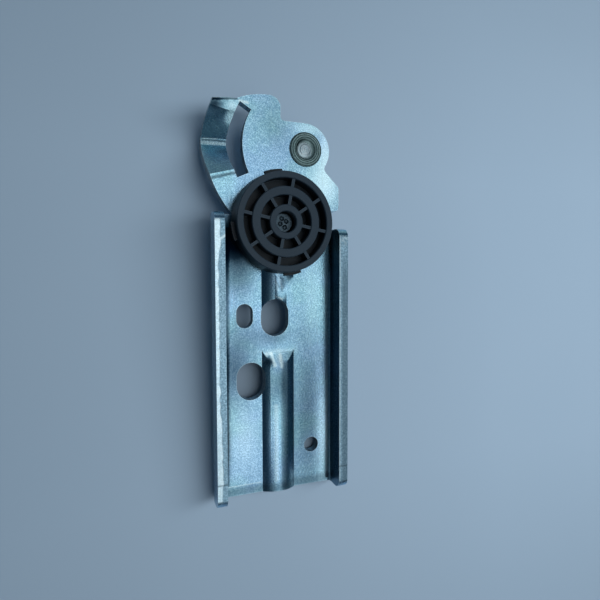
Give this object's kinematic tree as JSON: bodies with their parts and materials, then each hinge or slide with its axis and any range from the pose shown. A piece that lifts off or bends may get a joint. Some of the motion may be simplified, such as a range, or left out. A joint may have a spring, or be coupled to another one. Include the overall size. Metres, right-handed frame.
{
  "type": "refrigerator hinge",
  "caption": "Pressed steel refrigerator hinge bracket: U-channel with fixing slots, cam head with a curved slot, a swaged hinge pin and a spoked plastic roller.",
  "frame": {"origin": "axis of the hinge pin, in the plane of the bracket's rear face", "axes": "+Y along the channel towards the head, +Z out of the channel's open side, +X across, towards the side tab"},
  "size_m": [0.0366, 0.1042, 0.0184],
  "materials": {
    "zinc_sheet": "zinc-plated pressed sheet, bluish, lightly mottled",
    "roller_plastic": "moulded dark grey plastic, satin",
    "axle_steel": "plain steel rivet, staked",
    "pin_steel": "plain steel, swaged"
  },
  "bodies": {
    "bracket": {"bracket": "zinc_sheet", "roller_axle": "axle_steel", "pivot_stud": "pin_steel"},
    "roller": {"roller": "roller_plastic"}
  },
  "joints": [
    {"name": "roller_spin", "type": "hinge", "parent": "bracket", "child": "roller", "pos_m": [-0.008, -0.0202, 0.0076], "axis": [0, 0, 1], "continuous": true}
  ]
}
